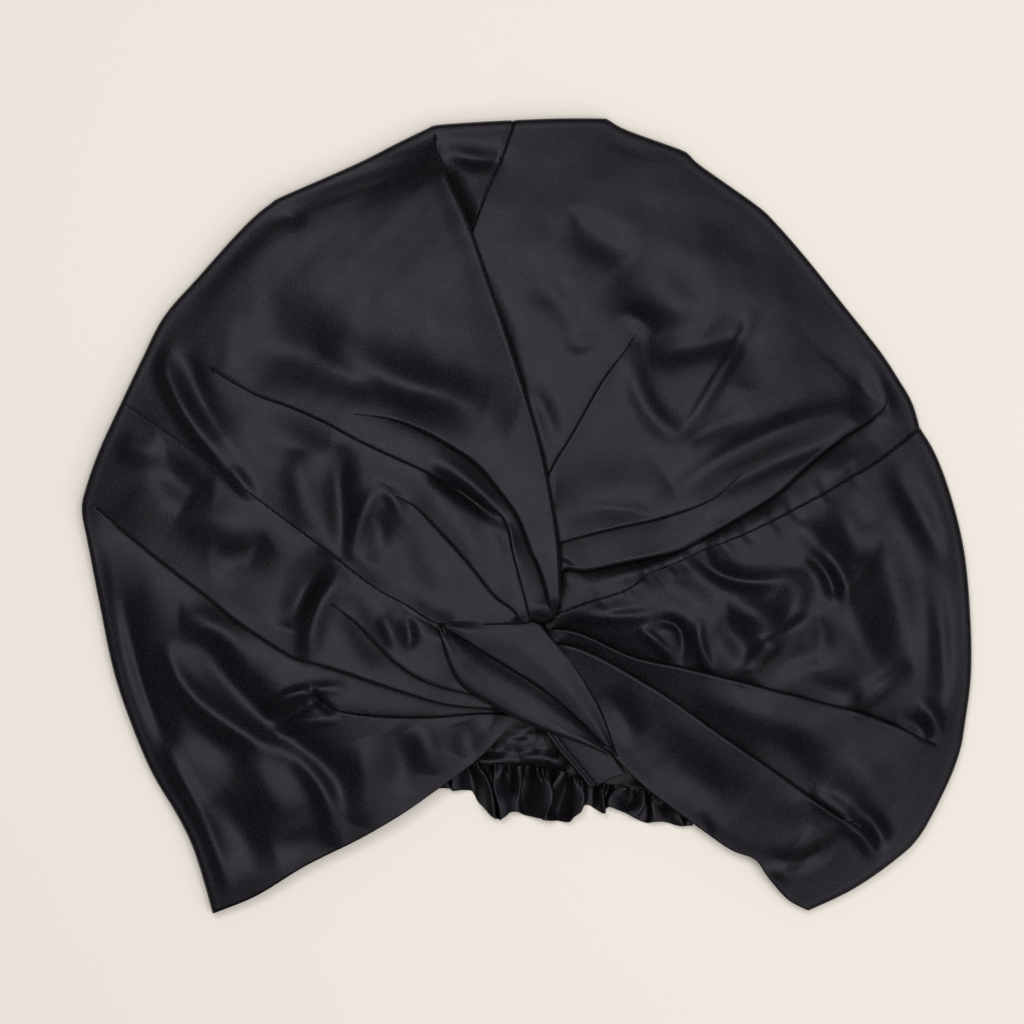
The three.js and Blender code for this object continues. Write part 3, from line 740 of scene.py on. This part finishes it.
crown_left = build_panel(
    "crown_left", SEAM_LEFT, SEAM_CENTRE,
    [
        make_guide(CROWN_PLEAT, 1.4, 1, (0.0, 0.40, 0.03, 0.16), decay=16, dip=2.4, dip_reach=10),
        make_guide(POCKET, 1.6, 1, (0.0, 0.88, 0.03, 0.25), decay=12, dip=0.8, dip_reach=4),
        make_guide(VALLEY_ARC, 1.8, 1, (0.03, 0.60, 0.02, 0.2), under=0.7, roll=0.8, decay=16, dip=2.2,
                   dip_reach=3.5),
        make_guide(FOLD_EDGE, 4.8, -1, (-0.1, 0.99, 0.02, 0.1), under=1.8, roll=1.0, decay=30, dip=3.0,
                   dip_reach=4.5, under_sheet=True),
    ],
    INNER_CROWN_LEFT, RIM_CROWN_LEFT, (BACK_SEAM_LEFT, BACK_SEAM_CENTRE, GATHER_CROWN_LEFT), LEFT_FOLDS,
    [seam_lines["left"]], (), RIGHT_FOLDS,
)
crown_right = build_panel(
    "crown_right", SEAM_CENTRE, SEAM_RIGHT,
    [
        make_guide(RIGHT_CREASE, 2.0, 1, (0.16, 0.62, 0.06, 0.16), decay=13, roll=0.5, dip=0.8, dip_reach=4),
        make_guide(RIGHT_PLEAT, 1.0, -1, (0.1, 0.58, 0.05, 0.2), decay=10, roll=0.4, dip=1.8, dip_reach=7),
        make_guide(RIGHT_TUCK, 2.0, -1, (0.02, 0.96, 0.05, 0.1), decay=11, roll=0.7, dip=3.2, dip_reach=4),
    ],
    INNER_CROWN_RIGHT, RIM_CROWN_RIGHT, (BACK_SEAM_CENTRE, BACK_SEAM_RIGHT, GATHER_CROWN_RIGHT), RIGHT_FOLDS,
    [seam_lines["centre"], seam_lines["right"]], pucker_lines(SEAM_RIGHT, -1),
)
brim_left = build_panel(
    "brim_left", SEAM_LEFT, MOUTH_LEFT,
    [
        make_guide(LEFT_PLEAT_INNER, 1.6, 1, (0.06, 0.26, 0.05, 0.12), decay=9, roll=0.45, dip=1.5,
                   dip_reach=4),
        make_guide(LEFT_PLEAT, 1.3, -1, (0.0, 0.42, 0.04, 0.14), decay=12, roll=0.45, dip=2.6, dip_reach=7),
        make_guide(LEFT_LONG, 1.5, -1, (0.0, 0.975, 0.05, 0.08), decay=18, roll=0.5, dip=3.2, dip_reach=9),
        make_guide(LEFT_LAPPET, 1.3, 1, (0.0, 0.5, 0.04, 0.14), decay=14, roll=0.45, dip=1.8, dip_reach=5),
    ],
    INNER_BRIM_LEFT, RIM_BRIM_LEFT, (BACK_SEAM_LEFT, BACK_MOUTH_LEFT, GATHER_BRIM_LEFT), LEFT_FOLDS,
    [seam_lines["left"]],
)
brim_right = build_panel(
    "brim_right", SEAM_RIGHT, MOUTH_RIGHT,
    [
        make_guide(RIGHT_UPPER, 1.2, 1, (0.0, 0.955, 0.04, 0.06), decay=10, roll=0.45, dip=2.8, dip_reach=8),
        make_guide(RIGHT_STRIP, 1.5, 1, (0.0, 0.88, 0.04, 0.12), decay=18, roll=0.5, dip=2.8, dip_reach=10),
    ],
    INNER_BRIM_RIGHT, RIM_BRIM_RIGHT, (BACK_SEAM_RIGHT, BACK_MOUTH_RIGHT, GATHER_BRIM_RIGHT), RIGHT_FOLDS,
    [seam_lines["right"]], pucker_lines(SEAM_RIGHT, 1),
)


# ---- The twist ----
BAND_UPPER = [(-31, -38.5), (-20, -37.2), (-7.5, -35), (-3, -34.4), (2.5, -36)]
BAND_RIGHT = [
    (2.5, -36), (4.5, -38.5), (9, -44.1), (15.4, -51.3), (21.2, -60.3), (26.4, -69.9), (30.1, -80),
    (32.4, -85.4),
]
BAND_CREASE = [
    (-31, -38.5), (-23.7, -42.3), (-14, -48.7), (-3.7, -55.1), (5.3, -60.9), (14.9, -68.5), (23.2, -76.3),
    (30.5, -84),
]
BAND_LOWER = [
    (-31, -38.5), (-28, -49.4), (-24.8, -56.4), (-21, -60.9), (-14, -65.3), (-7.5, -69.2), (-2.5, -71.7),
    (2.1, -73.7), (7.2, -75.7), (14.2, -78.2), (21.2, -80.7), (30, -84.6),
]
BAND_BASE = 1.3  # its edges above the panels under it
LEFT_EDGE_RISE, LOBE_RISE, CREASE_DROP = 1.9, 0.9, 1.2
UPPER_RISE, UPPER_SINK = 1.3, 0.9
BAND_ROLL, BAND_TURN_UNDER = 0.6, 2.5
TAIL_HEIGHT, TAIL_CROWN, TAIL_FALL = 9.4, 0.7, 0.8
TAIL_LEFT = [(4.5, -74.5), (7.2, -77.4), (11.7, -83.5), (17, -89.5), (23.2, -97.2)]
TAIL_RIGHT = [(27, -80), (30.8, -85.2), (33.5, -89), (35.8, -92)]
TAIL_END = [(23.2, -97.2), (26.9, -95.6), (31, -93.4), (35.8, -92)]
TAIL_START = [(4.5, -74.5), (15, -76.5), (27, -80)]


def across_strip(side_a, side_b, columns, rows):
    """Points of the strip between two curves that start near each other: rows along them, columns across."""
    vs, us = np.linspace(0, 1, rows), np.linspace(0, 1, columns)
    a, b = spline(side_a, vs), spline(side_b, vs)
    return a[:, None] * (1 - us)[None, :, None] + b[:, None] * us[None, :, None], us, vs


def band_piece():
    rows = 90
    lower, us_low, vs = across_strip(BAND_LOWER, BAND_CREASE, 34, rows)
    upper, us_up, _ = across_strip(BAND_CREASE, BAND_RIGHT_FULL, 34, rows)
    full = smoothstep(vs, 0, 0.12)[:, None] * (1 - 0.5 * smoothstep(vs, 0.6, 1))[:, None]
    z_low = dome(lower) + BAND_BASE + LEFT_EDGE_RISE * (1 - us_low) + full * (
        LOBE_RISE * np.clip(us_low / 0.25, 0, 1) ** 0.5 - CREASE_DROP * smoothstep(us_low, 0.45, 1) ** 2)
    z_up = dome(upper) + BAND_BASE + full * (
        UPPER_RISE + 0.4 * np.sin(np.pi * us_up) - UPPER_SINK * smoothstep(us_up, 0.35, 1))
    grid = np.concatenate([
        np.concatenate([lower, z_low[..., None]], axis=2),
        np.concatenate([upper, z_up[..., None]], axis=2),
    ], axis=1)
    # turn both long edges under
    columns = [grid]
    for sign, edge, inside in ((1, grid[:, -1], grid[:, -4]), (-1, grid[:, 0], grid[:, 3])):
        inward = inside[:, :2] - edge[:, :2]
        inward /= np.maximum(np.linalg.norm(inward, axis=1, keepdims=True), 1e-9)
        roll = BAND_ROLL * np.minimum(1, 0.15 + smoothstep(vs, 0, 0.15)) * (1 - 0.5 * smoothstep(vs, 0.85, 1))
        turned = []
        for turn in (0.25, 0.5, 0.75, 1.0, 1.3):
            s = -roll * np.sin(np.pi * min(turn, 1.0)) + (turn > 1) * BAND_TURN_UNDER
            drop = roll * (1 - np.cos(np.pi * min(turn, 1.0)))
            place = edge[:, :2] + inward * s[:, None]
            turned.append(np.concatenate([place, (edge[:, 2] - drop)[:, None]], axis=1))
        turned = np.stack(turned, axis=1)
        columns = [*columns, turned] if sign > 0 else [turned[:, ::-1], *columns]
    return cloth_mesh("twist_band_cloth", np.concatenate(columns, axis=1), CLOTH)


# the upper strip's far side: along the band's upper edge and then down its right edge
BAND_RIGHT_FULL = [*BAND_UPPER[:-1], *BAND_RIGHT]


def tail_piece():
    us, vs = np.linspace(0, 1, 36), np.linspace(0, 1, 40)
    start, end = spline(TAIL_START, us), spline(TAIL_END, us)
    plan = coons(start, end, spline(TAIL_LEFT, vs), spline(TAIL_RIGHT, vs), us, vs)
    z = TAIL_HEIGHT + TAIL_CROWN * np.sin(np.pi * us)[None] ** 0.5 - TAIL_FALL * vs[:, None]
    z += 0.6 * np.exp(-(((us[None] - 0.03) / 0.05) ** 2)) - 0.25 * np.exp(-(((us[None] - 0.13) / 0.06) ** 2))
    grid = np.concatenate([plan, z[..., None]], axis=2)
    return cloth_mesh("twist_tail_cloth", grid, CLOTH)


# ---- The gathered nape hem ----
GATHER_LINE = [
    (-34, -91.6), (-25.5, -86.8), (-9.3, -88.9), (1.8, -89.8), (12, -91), (19.7, -94.4), (30.5, -96.5),
    (45, -99), (60.5, -107),
]
HEM_EDGE = [
    (-33, -98), (-21, -98.5), (-18.5, -100.5), (-15, -107), (-7.5, -109.4), (-4.6, -106), (0, -107.8),
    (12, -109.4), (15.3, -106.6), (22, -104), (27, -106.4), (32.5, -104.6), (38.5, -108.4), (44, -110.6),
    (51, -110.6), (60, -111.4),
]
# each ruffle's middle at the elastic as a share of the hem, how far that moves towards the free edge,
# its half width as a share, its height, and how far its crest leans along the hem (mm)
RUFFLES = [
    # middle, slant, half width, height, lean
    (0.030, 0.00, 0.034, 2.4, 0.5), (0.105, -0.01, 0.028, 3.4, -1.4), (0.172, 0.045, 0.034, 5.4, 2.6),
    (0.262, 0.050, 0.024, 4.8, -2.8), (0.330, 0.000, 0.022, 4.4, 1.8), (0.402, 0.035, 0.042, 5.6, 3.0),
    (0.495, -0.04, 0.022, 4.6, -2.2), (0.560, -0.02, 0.040, 5.0, 2.6), (0.645, 0.01, 0.016, 4.6, 1.2),
    (0.710, 0.03, 0.038, 4.2, -2.2), (0.790, -0.01, 0.022, 4.2, 1.8), (0.862, 0.03, 0.036, 3.4, -1.8),
    (0.935, 0.01, 0.026, 2.8, 1.0), (0.990, 0.00, 0.022, 2.0, 0.0),
]
# small gathers at the elastic only
GATHER_COUNT, GATHER_HEIGHT = 34, 1.1
HEM_COLUMNS, HEM_ROWS, HEM_CLOTH = 720, 50, 0.5
HEM_LOW = TABLE_TOP + 0.1


def hem_piece():
    us, vs = np.linspace(0, 1, HEM_COLUMNS), np.linspace(0, 1, HEM_ROWS)
    top, edge = spline(GATHER_LINE, us), spline(HEM_EDGE, us)
    plan = top[None] * (1 - vs)[:, None, None] + edge[None] * vs[:, None, None]
    along = np.gradient(spline(GATHER_LINE, us), axis=0)
    along /= np.linalg.norm(along, axis=1, keepdims=True)
    z = np.full((HEM_ROWS, HEM_COLUMNS), HEM_LOW)
    shift = np.zeros_like(z)
    v = vs[:, None]
    open_out = 0.55 + 0.45 * np.sin(np.pi * np.clip(v * 0.62, 0, 1))
    for middle, slant, width, height, lean in RUFFLES:
        centre = middle + slant * v + 0.006 * np.sin(9 * middle * 7 + 5 * v)
        bump = np.exp(-(np.abs((us[None] - centre) / (width * (0.8 + 0.3 * v))) ** 3.4))
        tilt = 1 + 0.25 * np.clip((us[None] - centre) / width, -1, 1) * np.sign(lean)
        z = np.maximum(z, HEM_LOW + height * open_out * bump * tilt)
        shift += lean * bump * smoothstep(v, 0, 0.5)
    uneven = 0.006 * np.sin(2 * np.pi * 7 * us) + 0.004 * np.sin(2 * np.pi * 17 * us)
    pinch = 2 * np.pi * GATHER_COUNT * (us + uneven)
    gathers = GATHER_HEIGHT * np.sin(pinch) * (0.6 + 0.4 * np.sin(2 * np.pi * 5.3 * us))
    z += (0.9 + gathers[None]) * (1 - smoothstep(v, 0.02, 0.32))
    plan = plan + along[None] * shift[..., None]
    grid = np.concatenate([plan, z[..., None]], axis=2)
    return cloth_mesh("nape_hem_cloth", grid, HEM_CLOTH)


band, tail, hem = band_piece(), tail_piece(), hem_piece()

# ---- Stitches along the seams ----
STITCH_PITCH, STITCH_LENGTH, STITCH_RADIUS = 3.0, 1.7, 0.34
STITCH_LIFT, STITCH_END_DROP = 0.02, 0.1
# each ring's share of the length from the middle, its share of the radius, and how far it drops
STITCH_RINGS = (
    (-0.5, 0.3, STITCH_END_DROP), (-0.28, 1.0, 0), (0.28, 1.0, 0), (0.5, 0.3, STITCH_END_DROP),
)
STITCH_SIDES = 6


def stitches(name, lines):
    verts, faces = [], []
    for points, folds, from_share, to_share in lines:
        line = spline(points, np.linspace(0, 1, 400))
        length = np.sum(np.linalg.norm(np.diff(line, axis=0), axis=1))
        count = int(length * (to_share - from_share) / STITCH_PITCH)
        for k in range(count):
            share = from_share + (k + 0.5) * STITCH_PITCH / length
            centre = spline(points, [share])[0]
            ahead = spline(points, [min(share + 0.004, 1)])[0] - centre
            ahead /= np.linalg.norm(ahead)
            aside = np.array([-ahead[1], ahead[0]])
            here = centre[None]
            z = (dome(here) + relief(folds, here) * edge_fade(here))[0] - SEAM_DEPTH + CLOTH / 2
            z += STITCH_LIFT
            start = len(verts)
            for s, r, drop in STITCH_RINGS:
                for q in range(STITCH_SIDES):
                    angle = 2 * np.pi * q / STITCH_SIDES
                    offset = aside * np.cos(angle) * STITCH_RADIUS * r
                    p = centre + ahead * s * STITCH_LENGTH + offset
                    verts.append((p[0], p[1], z + np.sin(angle) * STITCH_RADIUS * r - drop))
            for ring in range(start, len(verts) - STITCH_SIDES, STITCH_SIDES):
                for q in range(STITCH_SIDES):
                    a, b = ring + q, ring + (q + 1) % STITCH_SIDES
                    faces.append((a, b, b + STITCH_SIDES, a + STITCH_SIDES))
            faces.append(tuple(range(start + STITCH_SIDES - 1, start - 1, -1)))
            faces.append(tuple(range(len(verts) - STITCH_SIDES, len(verts))))
    mesh = bpy.data.meshes.new(name)
    mesh.from_pydata((np.array(verts) * MM).tolist(), [], faces)
    mesh.shade_smooth()
    return add_object(name, mesh)


seam_thread = stitches("seam_thread", [
    # seam, the folds it runs over, and the shares of it from and to which it is stitched
    (SEAM_LEFT, LEFT_FOLDS, 0.1, 0.99),
    (SEAM_CENTRE, RIGHT_FOLDS, 0.80, 0.985),
    (SEAM_RIGHT, RIGHT_FOLDS, 0.06, 0.99),
])

# ---- Satin ----
GRAIN = 0.95  # how far the threads differ in tone
WEAVE_SCALE, SLUB_SCALE = 1900, 180  # noise scales of single threads and of thicker places in the yarn
DARKEST, LIGHTEST = 0.36, 0.64  # noise levels that give the darkest and the lightest threads
ROUGHNESS_SPREAD = 0.05
BUMP_STRENGTH, BUMP_DEPTH = 0.35, 0.0002
SATIN_IOR, SATIN_SPECULAR, SATIN_TINT = 1.33, 0.29, (0.95, 0.9, 1.0, 1)
SATIN_BLACK, SATIN_ROUGHNESS = (0.0040, 0.0035, 0.0047), 0.39
THREAD_BLACK, THREAD_ROUGHNESS = (0.0035, 0.0033, 0.0038), 0.6


def set_inputs(node, values):
    for key, value in values.items():
        node.inputs[key].default_value = value


def satin(name, base, roughness):
    material = bpy.data.materials.new(name)
    material.use_nodes = True
    nodes, links = material.node_tree.nodes, material.node_tree.links
    shader = nodes["Principled BSDF"]
    place = nodes.new("ShaderNodeTexCoord")
    weave = nodes.new("ShaderNodeTexNoise")
    set_inputs(weave, {"Scale": WEAVE_SCALE, "Detail": 2})
    slub = nodes.new("ShaderNodeTexNoise")
    set_inputs(slub, {"Scale": SLUB_SCALE, "Detail": 3})
    mixed = nodes.new("ShaderNodeMix")
    mixed.data_type = "RGBA"
    mixed.inputs["A"].default_value = (*[c * (1 - GRAIN) for c in base], 1)
    mixed.inputs["B"].default_value = (*[c * (1 + GRAIN) for c in base], 1)
    links.new(place.outputs["Object"], weave.inputs["Vector"])
    links.new(place.outputs["Object"], slub.inputs["Vector"])
    contrast = nodes.new("ShaderNodeMapRange")
    set_inputs(contrast, {"From Min": DARKEST, "From Max": LIGHTEST})
    links.new(weave.outputs["Fac"], contrast.inputs["Value"])
    links.new(contrast.outputs["Result"], mixed.inputs["Factor"])
    links.new(mixed.outputs["Result"], shader.inputs["Base Color"])
    rough = nodes.new("ShaderNodeMapRange")
    set_inputs(rough, {"To Min": roughness - ROUGHNESS_SPREAD, "To Max": roughness + ROUGHNESS_SPREAD})
    links.new(slub.outputs["Fac"], rough.inputs["Value"])
    links.new(rough.outputs["Result"], shader.inputs["Roughness"])
    bump = nodes.new("ShaderNodeBump")
    set_inputs(bump, {"Strength": BUMP_STRENGTH, "Distance": BUMP_DEPTH})
    links.new(weave.outputs["Fac"], bump.inputs["Height"])
    links.new(bump.outputs["Normal"], shader.inputs["Normal"])
    set_inputs(shader, {
        "IOR": SATIN_IOR, "Specular IOR Level": SATIN_SPECULAR, "Specular Tint": SATIN_TINT,
    })
    return material


outer = satin("satin_outer", SATIN_BLACK, SATIN_ROUGHNESS)
twist = satin("satin_twist", SATIN_BLACK, SATIN_ROUGHNESS)
thread = satin("thread_black", THREAD_BLACK, THREAD_ROUGHNESS)

PIECES = [
    # piece, node it replaces, slot, material
    (crown_left, "crown_left", "outer_satin", outer),
    (crown_right, "crown_right", "outer_satin", outer),
    (brim_left, "brim_left", "outer_satin", outer),
    (brim_right, "brim_right", "outer_satin", outer),
    (band, "twist_band", "twist_satin", twist),
    (tail, "twist_tail", "twist_satin", twist),
    (hem, "nape_hem", "hem_satin", outer),
    (seam_thread, None, "outer_satin", thread),
]
for piece, node, slot, material in PIECES:
    piece.data.materials.append(material)
    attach(piece, "root")
    if node:
        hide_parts(node)

# ---- Floor, light and camera ----
FLOOR_SIZE, FLOOR_COLOUR, FLOOR_ROUGHNESS = 4, (0.79, 0.735, 0.66, 1), 0.9
WORLD_COLOUR, WORLD_STRENGTH = (0.9, 0.92, 1.0, 1), 0.2
PHOTO_WIDTH = 0.3673  # metres of the table across the view
VIEW_MIDDLE = (-0.0050, 0.0018)  # the place under the camera
VIEW_PLANE = 0.008  # the height at which the view is that wide
LENS, SENSOR = 100, 36

bpy.ops.mesh.primitive_plane_add(size=FLOOR_SIZE, location=(0, 0, 0))
floor = bpy.context.object
floor.name = "floor"
floor_material = bpy.data.materials.new("floor_pale")
floor_material.use_nodes = True
set_inputs(floor_material.node_tree.nodes["Principled BSDF"],
           {"Base Color": FLOOR_COLOUR, "Roughness": FLOOR_ROUGHNESS})
floor.data.materials.append(floor_material)

world = bpy.data.worlds.new("studio")
world.use_nodes = True
set_inputs(world.node_tree.nodes["Background"], {"Color": WORLD_COLOUR, "Strength": WORLD_STRENGTH})
bpy.context.scene.world = world


def softbox(name, place, size, power, aim=(0, 0, 0)):
    light = bpy.data.lights.new(name, "AREA")
    light.shape = "RECTANGLE"
    light.size, light.size_y = size
    light.energy = power
    lamp = add_object(name, light)
    lamp.location = place
    lamp.rotation_euler = (Vector(aim) - Vector(place)).to_track_quat("-Z", "Y").to_euler()


# name, place and size in metres, power in watts
softbox("softbox_key", (0.16, 0.02, 1.4), (1.0, 1.0), 13.5)
softbox("softbox_core", (-0.28, 0.42, 1.25), (0.34, 0.34), 4)
softbox("softbox_fill", (0.9, -0.8, 1.1), (0.9, 0.9), 6)

camera_data = bpy.data.cameras.new("camera")
camera_data.lens, camera_data.sensor_width = LENS, SENSOR
camera = add_object("camera", camera_data)
camera.location = (*VIEW_MIDDLE, VIEW_PLANE + PHOTO_WIDTH * LENS / SENSOR)
bpy.context.scene.camera = camera
bpy.context.scene.view_settings.view_transform = "Standard"
